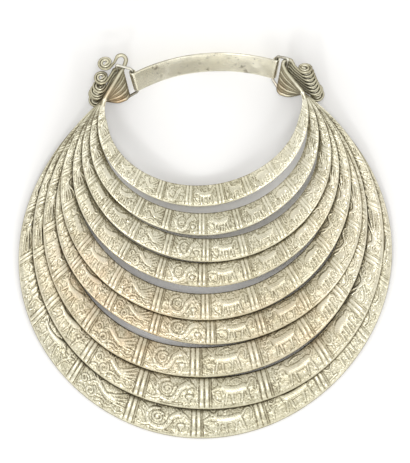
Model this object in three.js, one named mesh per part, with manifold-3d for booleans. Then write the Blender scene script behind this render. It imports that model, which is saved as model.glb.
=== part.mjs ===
// Bib necklace of nine nested crescent hoops, lying flat with its faces up.
// Millimetres: +X to the right, +Y towards the nape, +Z up from the surface that it lies on.
// The drawing frame has its origin between the hoops' tips, at the height of that surface.
import * as THREE from 'three';
import { mergeVertices } from 'three/addons/utils/BufferGeometryUtils.js';
import Module from 'manifold-3d';

const wasm = await Module();
wasm.setup();

// Hoops: bent sheet crescents, widest at the front
const BIB_DEPTH = 303.5; // line of the tips to the front edge of the outermost hoop
const TIP_HALF_SPAN = 89.8; // middle to the outer edge of a tip
const TIP_FORWARD = 4.6; // how far a tip stands towards the nape
const HOOP_WIDTH = 27.2; // front width of the widest hoop
const SHEET = 1.2; // sheet thickness
const DOME = 3.8; // rise of the widest hoop's dome
const CLEARANCE = 0.35; // play between pieces that lie on or in each other

// Tips: each hoop ends in a wire with an eye round the bar and a spiral button
const WIRE = 2.7;
const FORGED_WIDTH = 1.25; // width of the sheet where it turns into the wire, as a share of WIRE
const FORGED_SHEET = 0.9; // its thickness there, as a share of WIRE
const WIRE_ROOT = 2.4; // how far the wire starts inside the sheet, as a share of WIRE
const WIRE_LEAD = 0.2; // how far it runs straight on from the tip, as a share of WIRE
const LEG_SAG = 0.1; // sag of its slope up to the eye, as a share of the climb
const EYE_PLAY = 1.85; // play between the bar and the side of an eye
const EYE_REST = 1.8; // play at the bar of an eye that pulls on it, as a share of CLEARANCE
const SLACK_EYE = 9; // how far the innermost hoop's left eye has slid past the bar
const BUTTON_ACROSS = 13.8; // outer diameter of a spiral button
const BUTTON_WIRE = 2.3; // wire at the button's rim
const COIL_GAP = 0.12; // gap between the button's turns
const COIL_END = 0.15; // free middle of the coil, as a share of BUTTON_WIRE
const COIL_TAPER = 0.12; // share of the wire's thickness that is gone there
const BUTTON_RISE = 1.1; // how far the middle of a button stands up

// Shackles: closed wire frames that the eyes hang on
const BAR_WIRE = 2.5;
const BAR_HALF_SPAN = 73.6; // middle to the bars
const BAR_FORWARD = 19.5; // line of the tips to the middle of the bars
const BAR_LEAN = 45; // degrees from the vertical, towards the nape
const BAR_SPLAY = 9.7; // degrees outward at the top
const EYE_TILT = 15; // degrees that the eyes slope down to the nape
const TOP_ROOM = 3.3; // free bar above the eyes
const BOTTOM_ROOM = 3.0; // free bar below the eyes
const SHACKLE_DEPTH = 13; // bar to the side that holds the band
const SHACKLE_BEND = 2.6; // corner radius
const SWING = { left: -5, right: 48 }; // degrees that each shackle has turned towards the nape

// Collar band: a bent strip whose ends roll round the shackles
const BAND_WIDTH = 23;
const BAND_SHEET = 1.5;
const BAND_BOW = 17.2; // height of its bow over the chord
const BAND_ROLL = 262; // degrees that each end is rolled

const RAD = Math.PI / 180;
const SIDES = { left: -1, right: 1 };

const table = (columns, rows) =>
  rows.map((row) => Object.fromEntries(row.map((value, i) => [columns[i], value])));

// Each hoop, innermost first. depth: share of BIB_DEPTH. width: share of HOOP_WIDTH. front and side:
// handle lengths of its half curve, as shares of its own depth. turn: heading of the tip in degrees.
// swing: how far its front has swung sideways, as a share of its own depth.
const HOOPS = table(['depth', 'width', 'front', 'side', 'turn', 'swing'], [
  [0.313, 0.70, 0.61, 0.57, 112, -0.050],
  [0.399, 0.74, 0.57, 0.59, 124, -0.012],
  [0.478, 0.78, 0.59, 0.58, 132, 0.023],
  [0.552, 0.81, 0.51, 0.65, 133, 0.000],
  [0.650, 0.88, 0.53, 0.62, 138, -0.009],
  [0.723, 0.85, 0.43, 0.76, 132, 0.013],
  [0.819, 1.00, 0.54, 0.60, 138, -0.020],
  [0.914, 1.05, 0.56, 0.57, 143, -0.002],
  [1.000, 1.01, 0.46, 0.67, 141, -0.023],
]);

// Button middles from each hoop's place on the bar, as shares of BUTTON_ACROSS: out from the neck,
// fore towards the nape, drop below the hoop's own level. tilt: degrees down to the nape.
const BUTTONS = {
  left: table(['out', 'fore', 'drop', 'tilt'], [
    [0.76, 0.40, 0, 30],
    [1.08, -0.32, 0, 30],
    [1.25, -0.67, 0, 28],
    [1.46, -0.73, 0, 27],
    [1.52, -0.68, 0, 26],
    [1.57, -0.51, 0, 25],
    [1.69, -0.30, 0, 24],
    [1.78, -0.12, 0, 22],
    [1.84, -0.30, 0.375, 15],
  ]),
  right: table(['out', 'fore', 'drop', 'tilt'], [
    [1.12, -0.38, 0, 50],
    [1.27, -0.41, 0, 48],
    [1.40, -0.44, 0, 46],
    [1.53, -0.46, 0, 43],
    [1.66, -0.48, 0, 40],
    [1.81, -0.49, 0, 36],
    [1.97, -0.50, 0, 32],
    [2.12, -0.38, 0, 28],
    [2.24, -0.46, 0.375, 18],
  ]),
};

// Ends of an eye's two legs from its middle, in shares of its radius: towards the neck, towards the bar
const LEGS = { start: { neck: 1, bar: -1.3 }, back: { neck: -1.05, bar: -0.9 } };

// Stations along half a hoop, from its middle to its tip, as shares of its length
const stationShares = (count) => Array.from({ length: count + 1 }, (_, i) => i / count);
const SPAN_LENGTH = 15.5; // length of one facet along a hoop
const TAPER = 0.72; // share of the width that is gone at the tip, before it is forged down
const TAPER_POWER = 1.7;
const SIDE_SINK = 0.3; // share of the dome's rise that is gone along the sides
const LIP_LEAST = 0.8; // inner side of the lip in the narrowest sections, as a share of the width

// Where each change along half a hoop starts and ends, as shares of its length
const CHANGES = {
  stacked: [0, 0.55], // from shingled at the front to stacked
  lowered: [0.6, 1], // the lift over the outermost hoop's lip ends
  banked: [0, 0.4], // the bank doubles
  levelled: [0.75, 1], // the bank ends
  outerBanked: [0.5, 0.75], // the outermost hoop's bank starts
  sunk: [0.1, 0.5], // the dome gets lower
  forged: [0.84, 1], // the sheet narrows to the wire
};

// Levels: rise from hoop to hoop at the front and at the sides, and over the lip, in shares of DOME
const FRONT_RISE = 0.3;
const SIDE_RISE = 0.48;
const LIP_RISE = 0.3;
const CLIMB_POWER = 2.2; // how late the hoops climb from the front to the tips

// Facets: stations of a wire's eye, turns and bends, and corners of its section
const EYE_STEP = 45; // degrees
const COIL_STEPS = 9; // a turn
const BEND_STEPS = 4; // a shackle's corner
const BOW_STEPS = 18;
const ROLL_STEPS = 9;
const WIRE_CORNERS = 5;
const BAR_CORNERS = 6;

// Section of the sheet across its width: share of the width, share of the dome
const TOP_LINE = table(['across', 'rise'], [[0, 0], [0.28, 0.7], [0.6, 1], [0.86, 0.78], [1, 0.12]]);
const UNDER_LINE = table(['across', 'rise'], [[0.75, 0.88], [0.4, 0.85]]);

const smooth = (from, to, t) => {
  const k = Math.min(1, Math.max(0, (t - from) / (to - from)));
  return k * k * (3 - 2 * k);
};
const lerp = THREE.MathUtils.lerp;
const vec = (x, y, z) => new THREE.Vector3(x, y, z);

// The bars' frame: along the bar, inward from it, and round towards the nape
const lean = BAR_LEAN * RAD;
const splay = BAR_SPLAY * RAD;
const napeWard = vec(0, Math.cos(lean), -Math.sin(lean));
const upTheLean = vec(0, Math.sin(lean), Math.cos(lean));
const alongBar = (side) =>
  upTheLean.clone().multiplyScalar(Math.cos(splay)).add(vec(side * Math.sin(splay), 0, 0));
const inwardOfBar = (side) =>
  upTheLean.clone().multiplyScalar(Math.sin(splay)).add(vec(-side * Math.cos(splay), 0, 0));

const eyePitch = (WIRE + 2 * CLEARANCE) / Math.cos((BAR_LEAN - EYE_TILT) * RAD);
const cornerRoom = (WIRE + BAR_WIRE) / 2;
const firstEye = TOP_ROOM + cornerRoom;
const barLength = (HOOPS.length - 1) * eyePitch + firstEye + BOTTOM_ROOM + cornerRoom;
const rollRadius = BAR_WIRE / 2 + CLEARANCE + BAND_SHEET / 2;
const heldSide = BAND_WIDTH + 2 * SHACKLE_BEND;

// The band's ends from the middle of each bar
const heldOffset = (name) => {
  const side = SIDES[name];
  const turned = SWING[name] * RAD;
  return inwardOfBar(side).multiplyScalar(SHACKLE_DEPTH * Math.cos(turned))
    .addScaledVector(napeWard, SHACKLE_DEPTH * Math.sin(turned));
};

// The bars stand so high that the lowest edge of the bowed band just meets the surface
const meanHeld = heldOffset('left').add(heldOffset('right')).multiplyScalar(0.5);
const chord = vec(2 * BAR_HALF_SPAN, 0, 0).add(heldOffset('right')).sub(heldOffset('left'));
const chordWay = chord.clone().normalize();
const bow = napeWard.clone().projectOnPlane(chordWay).normalize();
const halfChord = chord.length() / 2;
const bowRadius = (halfChord * halfChord + BAND_BOW * BAND_BOW) / (2 * BAND_BOW);
const bandRadius = bowRadius - rollRadius;
const bandHang = (bandRadius + BAND_SHEET / 2) * Math.hypot(bow.z, chordWay.z)
  + (bowRadius - BAND_BOW) * bow.z + BAND_WIDTH / 2 * Math.cos(lean);
const barHeight = bandHang - meanHeld.z;
const barMiddle = (side) => vec(side * BAR_HALF_SPAN, BAR_FORWARD, barHeight);
const eyePlace = (side, row) =>
  barMiddle(side).addScaledVector(alongBar(side), barLength / 2 - firstEye - row * eyePitch);

// Levels: the hoops lie like shingles at the front and are stacked at the tips
const bank = SHEET + CLEARANCE;
const frontStep = FRONT_RISE * DOME;
const sideStep = Math.max(SHEET + CLEARANCE + SIDE_RISE * DOME, WIRE + 2 * CLEARANCE);
const lipLift = SHEET + CLEARANCE + LIP_RISE * DOME;
const tipRise = eyePlace(1, HOOPS.length - 1).z;

function hoopLevel(row, share) {
  const above = HOOPS.length - 1 - row;
  const step = lerp(frontStep, sideStep, smooth(...CHANGES.stacked, share));
  const lift = above > 0 ? lipLift * (1 - smooth(...CHANGES.lowered, share)) : 0;
  return above * step + lift + tipRise * Math.pow(share, CLIMB_POWER);
}

// Half curve of a hoop's outer edge, on the right side, in plan
function outerCurve(row) {
  const hoop = HOOPS[row];
  const depth = hoop.depth * BIB_DEPTH;
  const tip = new THREE.Vector2(TIP_HALF_SPAN, TIP_FORWARD);
  const heading = new THREE.Vector2(Math.cos(hoop.turn * RAD), Math.sin(hoop.turn * RAD));
  return new THREE.CubicBezierCurve(
    new THREE.Vector2(0, -depth),
    new THREE.Vector2(hoop.front * depth, -depth),
    tip.clone().addScaledVector(heading, -hoop.side * depth),
    tip,
  );
}

// How much of the bank a hoop has: more at the sides, none at the tips or at the outermost front
function bankShare(row, share) {
  const sides = (1 + smooth(...CHANGES.banked, share)) * (1 - smooth(...CHANGES.levelled, share));
  return row < HOOPS.length - 1 ? sides : sides * smooth(...CHANGES.outerBanked, share);
}

// Sizes and directions of the sheet at one station of a half hoop
function station(row, curve, side, share) {
  const hoop = HOOPS[row];
  const edge = curve.getPointAt(share);
  const ahead = curve.getTangentAt(share);
  const forged = smooth(...CHANGES.forged, share);
  const tapered = hoop.width * HOOP_WIDTH * (1 - TAPER * Math.pow(share, TAPER_POWER));
  const width = lerp(tapered, FORGED_WIDTH * WIRE, forged);
  const sunk = 1 - SIDE_SINK * smooth(...CHANGES.sunk, share);
  return {
    width,
    edge: vec(side * edge.x - hoop.swing * edge.y, edge.y, hoopLevel(row, share)),
    inward: vec(-side * ahead.y, ahead.x, 0),
    ahead: vec(side * ahead.x, ahead.y, 0),
    sheet: lerp(SHEET, FORGED_SHEET * WIRE, forged),
    dome: DOME * width / HOOP_WIDTH * sunk * (1 - forged),
    bank: bank * bankShare(row, share),
  };
}

// The section's corners at a station, from the inner edge over the dome and back underneath
function sheetSection(at) {
  const corner = (across, height) => at.edge.clone()
    .addScaledVector(at.inward, at.width * (1 - across))
    .add(vec(0, 0, height - at.bank * (1 - across)));
  const lipInside = 1 - at.sheet / at.width;
  return [
    ...TOP_LINE.map((p) => corner(p.across, at.sheet + p.rise * at.dome)),
    corner(1, 0),
    corner(Math.max(lipInside, LIP_LEAST), 0),
    ...UNDER_LINE.map((p) => corner(p.across, p.rise * at.dome)),
    corner(0, 0),
  ];
}

// A closed body from rings of corners, each ring with as many corners
function loft(rings, closed = false) {
  const count = rings[0].length;
  const positions = rings.flat().flatMap((p) => [p.x, p.y, p.z]);
  const faces = [];
  const spans = closed ? rings.length : rings.length - 1;
  for (let i = 0; i < spans; i += 1) {
    for (let j = 0; j < count; j += 1) {
      const a = i * count + j;
      const b = i * count + (j + 1) % count;
      const c = ((i + 1) % rings.length) * count + (j + 1) % count;
      const d = ((i + 1) % rings.length) * count + j;
      faces.push(a, b, c, a, c, d);
    }
  }
  if (!closed) {
    for (const [ring, order] of [[0, -1], [rings.length - 1, 1]]) {
      const flat = capCorners(rings[ring]);
      for (const [a, b, c] of THREE.ShapeUtils.triangulateShape(flat, [])) {
        const face = [a, b, c].map((k) => ring * count + k);
        faces.push(...(order * turnOf(flat) > 0 ? face : face.reverse()));
      }
    }
  }
  const geometry = new THREE.BufferGeometry();
  geometry.setAttribute('position', new THREE.Float32BufferAttribute(positions, 3));
  geometry.setIndex(faces);
  return outward(geometry);
}

// A ring's corners in its own plane
function capCorners(ring) {
  const middle = ring.reduce((sum, p) => sum.add(p), vec(0, 0, 0)).divideScalar(ring.length);
  const normal = vec(0, 0, 0);
  ring.forEach((p, i) => normal.add(
    p.clone().sub(middle).cross(ring[(i + 1) % ring.length].clone().sub(middle))));
  normal.normalize();
  const u = ring[0].clone().sub(middle).projectOnPlane(normal).normalize();
  const v = normal.clone().cross(u);
  return ring.map((p) => new THREE.Vector2(p.clone().sub(middle).dot(u), p.clone().sub(middle).dot(v)));
}

// Triangles come from triangulateShape in the corners' own order, so both turns agree
const turnOf = (flat) => Math.sign(THREE.ShapeUtils.area(flat));

function volumeOf(geometry) {
  const p = geometry.getAttribute('position');
  const index = geometry.getIndex();
  const at = (i) => vec().fromBufferAttribute(p, index.getX(i));
  let sum = 0;
  for (let i = 0; i < index.count; i += 3) {
    sum += at(i).dot(at(i + 1).cross(at(i + 2))) / 6;
  }
  return sum;
}

function outward(geometry) {
  if (volumeOf(geometry) < 0) {
    const index = geometry.getIndex();
    for (let i = 0; i < index.count; i += 3) {
      const first = index.getX(i);
      index.setX(i, index.getX(i + 1));
      index.setX(i + 1, first);
    }
  }
  return geometry;
}

// A round wire through points, each with its own radius
function wire(points, radii, corners, closed = false) {
  const count = points.length;
  const tangent = (i) => {
    const before = points[closed ? (i + count - 1) % count : Math.max(i - 1, 0)];
    const after = points[closed ? (i + 1) % count : Math.min(i + 1, count - 1)];
    return after.clone().sub(before).normalize();
  };
  let normal = vec(0, 0, 1).projectOnPlane(tangent(0)).normalize();
  const rings = points.map((point, i) => {
    const t = tangent(i);
    normal = normal.projectOnPlane(t).normalize();
    const across = t.clone().cross(normal);
    return Array.from({ length: corners }, (_, j) => {
      const angle = 2 * Math.PI * j / corners;
      return point.clone()
        .addScaledVector(normal, radii[i] * Math.cos(angle))
        .addScaledVector(across, radii[i] * Math.sin(angle));
    });
  });
  return loft(rings, closed);
}

// The wire of one tip: out of the sheet, round the bar in an eye, back, and into the spiral button
function tipWire(row, name) {
  const side = SIDES[name];
  const end = station(row, outerCurve(row), side, 1);
  const tip = end.edge.clone().addScaledVector(end.inward, end.width / 2).add(vec(0, 0, end.sheet / 2));
  const place = eyePlace(side, row);
  const slope = Math.tan(EYE_TILT * RAD);
  const onEyeLevel = (p) => vec(p.x, p.y, place.z - slope * (p.y - place.y));
  const toBar = vec(place.x - tip.x, place.y - tip.y, 0).normalize();
  const neckWard = vec(-side * toBar.y, side * toBar.x, 0);
  const eyeRadius = BAR_WIRE / 2 + EYE_PLAY + WIRE / 2;
  const slid = row === 0 && name === 'left' ? SLACK_EYE : EYE_REST * CLEARANCE - EYE_PLAY;
  const middle = place.clone().addScaledVector(toBar, slid);
  const roundEye = (neck, bar) => onEyeLevel(middle.clone()
    .addScaledVector(neckWard, neck * eyeRadius).addScaledVector(toBar, bar * eyeRadius));
  const points = [
    tip.clone().addScaledVector(end.ahead, -WIRE_ROOT * WIRE),
    tip.clone().addScaledVector(end.ahead, WIRE_LEAD * WIRE),
  ];
  const legStart = roundEye(LEGS.start.neck, LEGS.start.bar);
  const way = legStart.clone().sub(points[1]);
  points.push(points[1].clone().addScaledVector(way, 0.5).add(vec(0, 0, -LEG_SAG * way.z)), legStart);
  for (let degrees = 0; degrees <= 180; degrees += EYE_STEP) {
    points.push(roundEye(Math.cos(degrees * RAD), Math.sin(degrees * RAD)));
  }
  const backLeg = roundEye(LEGS.back.neck, LEGS.back.bar);
  points.push(backLeg);
  const radii = points.map(() => WIRE / 2);

  const button = BUTTONS[name][row];
  const centre = onEyeLevel(vec(
    place.x + side * button.out * BUTTON_ACROSS,
    place.y + button.fore * BUTTON_ACROSS,
    0,
  )).add(vec(0, 0, -button.drop * BUTTON_ACROSS));
  const tilt = button.tilt * RAD;
  const across = vec(1, 0, 0);
  const fore = vec(0, Math.cos(tilt), -Math.sin(tilt));
  const up = vec(0, Math.sin(tilt), Math.cos(tilt));
  const rim = (BUTTON_ACROSS - BUTTON_WIRE) / 2;
  const coilPitch = BUTTON_WIRE + COIL_GAP;
  const from = backLeg.clone().sub(centre);
  const bearing = Math.atan2(from.dot(fore), from.dot(across));
  const reach = Math.hypot(from.dot(fore), from.dot(across));
  const entry = bearing + side * Math.acos(Math.min(1, rim / reach));
  const turns = (rim - COIL_END * BUTTON_WIRE) / coilPitch;
  const steps = Math.ceil(turns * COIL_STEPS);
  for (let i = 0; i <= steps; i += 1) {
    const wound = i / steps;
    const radius = rim - turns * coilPitch * wound;
    const angle = entry + side * 2 * Math.PI * turns * wound;
    points.push(centre.clone()
      .addScaledVector(across, radius * Math.cos(angle))
      .addScaledVector(fore, radius * Math.sin(angle))
      .addScaledVector(up, BUTTON_RISE * wound * wound));
    radii.push(BUTTON_WIRE / 2 * (1 - COIL_TAPER * wound));
  }
  return wire(points, radii, WIRE_CORNERS);
}

// A manifold solid of a closed mesh, and the mesh of a solid
function solid(geometry) {
  const bare = geometry.clone();
  bare.deleteAttribute('normal');
  bare.deleteAttribute('uv');
  const merged = mergeVertices(bare, 1e-5);
  return new wasm.Manifold(new wasm.Mesh({
    numProp: 3,
    vertProperties: new Float32Array(merged.getAttribute('position').array),
    triVerts: new Uint32Array(merged.getIndex().array),
  }));
}

function meshOf(body) {
  const made = body.getMesh();
  const geometry = new THREE.BufferGeometry();
  geometry.setAttribute('position', new THREE.Float32BufferAttribute(made.vertProperties, 3));
  geometry.setIndex(Array.from(made.triVerts));
  return geometry;
}

function hoopGeometry(row) {
  const curve = outerCurve(row);
  const count = Math.round(curve.getLength() / SPAN_LENGTH) + 3;
  const shares = stationShares(count);
  const rings = [
    ...shares.slice(1).reverse().map((share) => sheetSection(station(row, curve, -1, share))),
    ...shares.map((share) => sheetSection(station(row, curve, 1, share))),
  ];
  return meshOf(solid(loft(rings))
    .add(solid(tipWire(row, 'left')))
    .add(solid(tipWire(row, 'right'))));
}

// The frame of one shackle: bar, top leg, held side and bottom leg, with bent corners
function shackleGeometry(name) {
  const side = SIDES[name];
  const along = alongBar(side);
  const held = heldOffset(name);
  const corners = [
    [0, barLength / 2], [1, heldSide / 2], [1, -heldSide / 2], [0, -barLength / 2],
  ].map(([out, up]) => barMiddle(side).addScaledVector(held, out).addScaledVector(along, up));
  const path = corners.flatMap((corner, i) => {
    const before = corners[(i + 3) % 4].clone().sub(corner).normalize();
    const after = corners[(i + 1) % 4].clone().sub(corner).normalize();
    const bend = new THREE.QuadraticBezierCurve3(
      corner.clone().addScaledVector(before, SHACKLE_BEND),
      corner,
      corner.clone().addScaledVector(after, SHACKLE_BEND),
    );
    return bend.getPoints(BEND_STEPS);
  });
  return wire(path, path.map(() => BAR_WIRE / 2), BAR_CORNERS, true);
}

// The collar band: a strip on a circular bow through the held sides, rolled round them outward
function bandGeometry() {
  const ends = ['left', 'right'].map((name) => barMiddle(SIDES[name]).add(heldOffset(name)));
  const reach = Math.asin(halfChord / bowRadius);
  const middle = ends[0].clone().lerp(ends[1], 0.5).addScaledVector(bow, BAND_BOW - bowRadius);
  const radial = (angle) =>
    bow.clone().multiplyScalar(Math.cos(angle)).addScaledVector(chordWay, Math.sin(angle));
  const sideways = (angle) =>
    chordWay.clone().multiplyScalar(Math.cos(angle)).addScaledVector(bow, -Math.sin(angle));
  const section = (point, out, share) => {
    const wide = upTheLean.clone().lerp(alongBar(Math.sign(share)), Math.abs(share)).normalize();
    const corner = (o, w) => point.clone().addScaledVector(out, o * BAND_SHEET / 2)
      .addScaledVector(wide, w * BAND_WIDTH / 2);
    return [corner(-1, -1), corner(1, -1), corner(1, 1), corner(-1, 1)];
  };
  const rolled = (end, side, step) => {
    const angle = step / ROLL_STEPS * BAND_ROLL * RAD;
    const spoke = radial(side * reach).multiplyScalar(-Math.cos(angle))
      .addScaledVector(sideways(side * reach), side * Math.sin(angle));
    return section(end.clone().addScaledVector(spoke, rollRadius), spoke.clone().negate(), side);
  };
  const rings = [];
  for (let i = ROLL_STEPS; i > 0; i -= 1) rings.push(rolled(ends[0], -1, i));
  for (let i = 0; i <= BOW_STEPS; i += 1) {
    const share = 2 * i / BOW_STEPS - 1;
    const out = radial(reach * share);
    rings.push(section(middle.clone().addScaledVector(out, bandRadius), out, share));
  }
  for (let i = 1; i <= ROLL_STEPS; i += 1) rings.push(rolled(ends[1], 1, i));
  return loft(rings);
}

// Materials: warm nickel silver sheet, duller wire, plain polished band
const silver = (color, roughness) => new THREE.MeshStandardMaterial({ color, roughness, metalness: 1 });

const necklace = new THREE.Group();
const add = (name, geometry, material) => {
  const mesh = new THREE.Mesh(geometry, material);
  mesh.name = name;
  necklace.add(mesh);
};

HOOPS.forEach((_, row) => add(`hoop_${row + 1}`, hoopGeometry(row), silver(0xcdc5ac, 0.38)));
add('shackle_left', shackleGeometry('left'), silver(0xb5ae9c, 0.42));
add('shackle_right', shackleGeometry('right'), silver(0xb5ae9c, 0.42));
add('collar_band', bandGeometry(), silver(0xcfc8b2, 0.34));

// The part's origin is under the middle of the whole, on the surface that it lies on
const bounds = new THREE.Box3().setFromObject(necklace);
const centre = bounds.getCenter(vec(0, 0, 0));
necklace.position.set(-centre.x, -centre.y, -bounds.min.z);

export default necklace;
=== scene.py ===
import math

import bpy
import numpy as np
from mathutils.kdtree import KDTree
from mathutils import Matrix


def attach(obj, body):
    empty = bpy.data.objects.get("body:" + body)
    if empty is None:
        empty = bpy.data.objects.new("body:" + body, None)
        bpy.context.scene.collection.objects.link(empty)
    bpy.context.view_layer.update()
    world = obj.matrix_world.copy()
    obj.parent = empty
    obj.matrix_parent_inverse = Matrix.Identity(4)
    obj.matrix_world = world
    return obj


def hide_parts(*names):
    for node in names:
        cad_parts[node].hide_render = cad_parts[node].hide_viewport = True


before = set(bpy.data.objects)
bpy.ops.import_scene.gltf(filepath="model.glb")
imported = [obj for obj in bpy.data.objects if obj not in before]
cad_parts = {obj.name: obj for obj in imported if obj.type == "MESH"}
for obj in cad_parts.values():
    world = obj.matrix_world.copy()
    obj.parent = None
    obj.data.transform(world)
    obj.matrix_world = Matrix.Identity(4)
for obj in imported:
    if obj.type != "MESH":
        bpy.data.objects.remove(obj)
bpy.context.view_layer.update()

# Sizes in millimetres, as in the part's source
BIB_DEPTH = 303.5
TIP_HALF_SPAN = 89.8
TIP_FORWARD = 4.6
HOOP_WIDTH = 27.2
SHEET = 1.2
DOME = 3.8
CLEARANCE = 0.35
WIRE = 2.7
EYE_PLAY = 1.85
SLACK_EYE = 9
BUTTON_ACROSS = 13.8
BUTTON_WIRE = 2.3
COIL_GAP = 0.12
BUTTON_RISE = 1.1
BAR_WIRE = 2.5
BAR_HALF_SPAN = 73.6
BAR_FORWARD = 19.5
BAR_LEAN = math.radians(45)
BAR_SPLAY = math.radians(9.7)
EYE_TILT = math.radians(15)
TOP_ROOM = 3.3
BOTTOM_ROOM = 3.0
SHACKLE_DEPTH = 13
SHACKLE_BEND = 2.6
SWING = {-1: math.radians(-5), 1: math.radians(48)}
BAND_WIDTH = 23
BAND_SHEET = 1.5
BAND_BOW = 17.2
BAND_ROLL = math.radians(262)
TAPER = 0.72
TAPER_POWER = 1.7
FORGED_FROM = 0.84

# From the drawing's origin to the part's, in millimetres
SHIFT = np.array([3.13005, 129.7619, 0.0])

# depth, width, front, side, turn and swing of each hoop, innermost first
HOOPS = [
    (0.313, 0.70, 0.61, 0.57, 112, -0.050),
    (0.399, 0.74, 0.57, 0.59, 124, -0.012),
    (0.478, 0.78, 0.59, 0.58, 132, 0.023),
    (0.552, 0.81, 0.51, 0.65, 133, 0.000),
    (0.650, 0.88, 0.53, 0.62, 138, -0.009),
    (0.723, 0.85, 0.43, 0.76, 132, 0.013),
    (0.819, 1.00, 0.54, 0.60, 138, -0.020),
    (0.914, 1.05, 0.56, 0.57, 143, -0.002),
    (1.000, 1.01, 0.46, 0.67, 141, -0.023),
]

# out, fore, drop and tilt of each spiral button
BUTTONS = {
    -1: [(0.76, 0.4, 0, 30), (1.08, -0.32, 0, 30), (1.25, -0.67, 0, 28), (1.46, -0.73, 0, 27),
         (1.52, -0.68, 0, 26), (1.57, -0.51, 0, 25), (1.69, -0.3, 0, 24),
         (1.78, -0.12, 0, 22), (1.84, -0.3, 0.375, 15)],
    1: [(1.12, -0.38, 0, 50), (1.27, -0.41, 0, 48), (1.4, -0.44, 0, 46),
         (1.53, -0.46, 0, 43), (1.66, -0.48, 0, 40), (1.81, -0.49, 0, 36),
         (1.97, -0.5, 0, 32), (2.12, -0.38, 0, 28), (2.24, -0.46, 0.375, 18)],
}

# Cross-bands of each hoop, in millimetres along it from its middle
DIVIDERS = [
    (-138, -116, -92.5, -67, -40.6, -12, 18.5, 45, 71.8, 96, 117, 137),
    (-165, -147, -127, -99, -68, -38.4, -4, 31, 62.8, 91.4, 116.7, 144.5, 165),
    (-190, -166, -140, -112, -78, -43, -6, 30, 70, 103.8, 133, 160, 186),
    (-213, -187, -158, -123, -86, -47, -6.8, 36, 77, 114, 145.6, 175, 203),
    (-245, -212, -180, -140, -95, -50, -3, 44, 88, 130, 165, 202, 236),
    (-268, -238, -198, -152, -104, -57, -4, 45, 93, 138, 181, 223, 258),
    (-300, -265, -223, -178, -124, -66, -11, 46, 101, 148, 193, 226, 257, 292),
    (-335, -283, -236, -188, -129, -70, -8, 50, 115, 168, 216, 267, 313, 348),
    (-362, -308, -260, -204, -140, -75, -10, 52, 117, 175, 228, 276, 320, 362),
]
LEFT_FIGURES = ("fish", "bird", "deer", "tiger", "peacock", "scroll", "tiger")
RIGHT_FIGURES = ("fox", "horse", "elephant", "swallow", "peacock", "tiger", "scroll", "rosette")
FAN = 0.045  # how much the cross-bands spread towards the inner edge

GRID = 0.60  # spacing of the relief's points
FIGURE_RISE = 1.0
BAND_RISE = 0.6
LIP_SHADE = 1.3  # width of the painted shade, with dark toning, under a lip
RIDGES = ((-0.80, 0.62), (0.60, 0.62), (1.52, 0.2))  # place and half width, in shares of LINE_PITCH
LINE_PITCH = 0.125  # share of the hoop's front width
END_PANEL = 19  # length of the panels beyond the listed cross-bands
STROKE = 1.2  # share that widens every stroke
STRIP_WIDER = 0.5  # how much wider than the wire the hammered strips are, each side
STRIP_FLAT = 0.62  # their thickness, as a share of their width
STRIP_TONES = (0.90, 0.30, 0.95, 0.22, 0.85, 0.26, 0.90, 0.22, 0.80)  # painted light and shade of each hoop's hammered strips: lit on those on top, shaded on those beneath
OUTLINE = 0.7  # width of the dark line round a figure
HOOP_TONES = (0.08, 0.02, 0.02, 0.02, 0.01, 0, -0.02, -0.02, -0.03)  # tone added to each hoop, lightest on the innermost

rng = np.random.default_rng(7)


def smooth(start, end, t):
    k = np.clip((np.asarray(t, float) - start) / (end - start), 0, 1)
    return k * k * (3 - 2 * k)


def unit(v):
    return v / np.linalg.norm(v)


# The bars' frame, as in the part's source
nape_ward = np.array([0, math.cos(BAR_LEAN), -math.sin(BAR_LEAN)])


def along_bar(side):
    return np.array([side * math.sin(BAR_SPLAY), math.cos(BAR_SPLAY) * math.sin(BAR_LEAN),
                     math.cos(BAR_SPLAY) * math.cos(BAR_LEAN)])


def inward_of_bar(side):
    return np.array([-side * math.cos(BAR_SPLAY), math.sin(BAR_SPLAY) * math.sin(BAR_LEAN),
                     math.sin(BAR_SPLAY) * math.cos(BAR_LEAN)])


eye_pitch = (WIRE + 2 * CLEARANCE) / math.cos(BAR_LEAN - EYE_TILT)
corner_room = (WIRE + BAR_WIRE) / 2
first_eye = TOP_ROOM + corner_room
bar_length = (len(HOOPS) - 1) * eye_pitch + first_eye + BOTTOM_ROOM + corner_room
roll_radius = BAR_WIRE / 2 + CLEARANCE + BAND_SHEET / 2
held_side = BAND_WIDTH + 2 * SHACKLE_BEND


def held_offset(side):
    turned = SWING[side]
    return (inward_of_bar(side) * SHACKLE_DEPTH * math.cos(turned)
            + nape_ward * SHACKLE_DEPTH * math.sin(turned))


mean_held = (held_offset(-1) + held_offset(1)) / 2
chord = np.array([2 * BAR_HALF_SPAN, 0, 0]) + held_offset(1) - held_offset(-1)
chord_way = unit(chord)
bow = unit(nape_ward - chord_way * np.dot(nape_ward, chord_way))
half_chord = np.linalg.norm(chord) / 2
bow_radius = (half_chord ** 2 + BAND_BOW ** 2) / (2 * BAND_BOW)
band_radius = bow_radius - roll_radius
band_hang = ((band_radius + BAND_SHEET / 2) * math.hypot(bow[2], chord_way[2])
             + (bow_radius - BAND_BOW) * bow[2] + BAND_WIDTH / 2 * math.cos(BAR_LEAN))
bar_height = band_hang - mean_held[2]


def bar_middle(side):
    return np.array([side * BAR_HALF_SPAN, BAR_FORWARD, bar_height])


def eye_place(side, row):
    return bar_middle(side) + along_bar(side) * (bar_length / 2 - first_eye - row * eye_pitch)


bank = SHEET + CLEARANCE
front_step = 0.3 * DOME
side_step = max(SHEET + CLEARANCE + 0.48 * DOME, WIRE + 2 * CLEARANCE)
lip_lift = SHEET + CLEARANCE + 0.3 * DOME
tip_rise = eye_place(1, len(HOOPS) - 1)[2]


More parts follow.
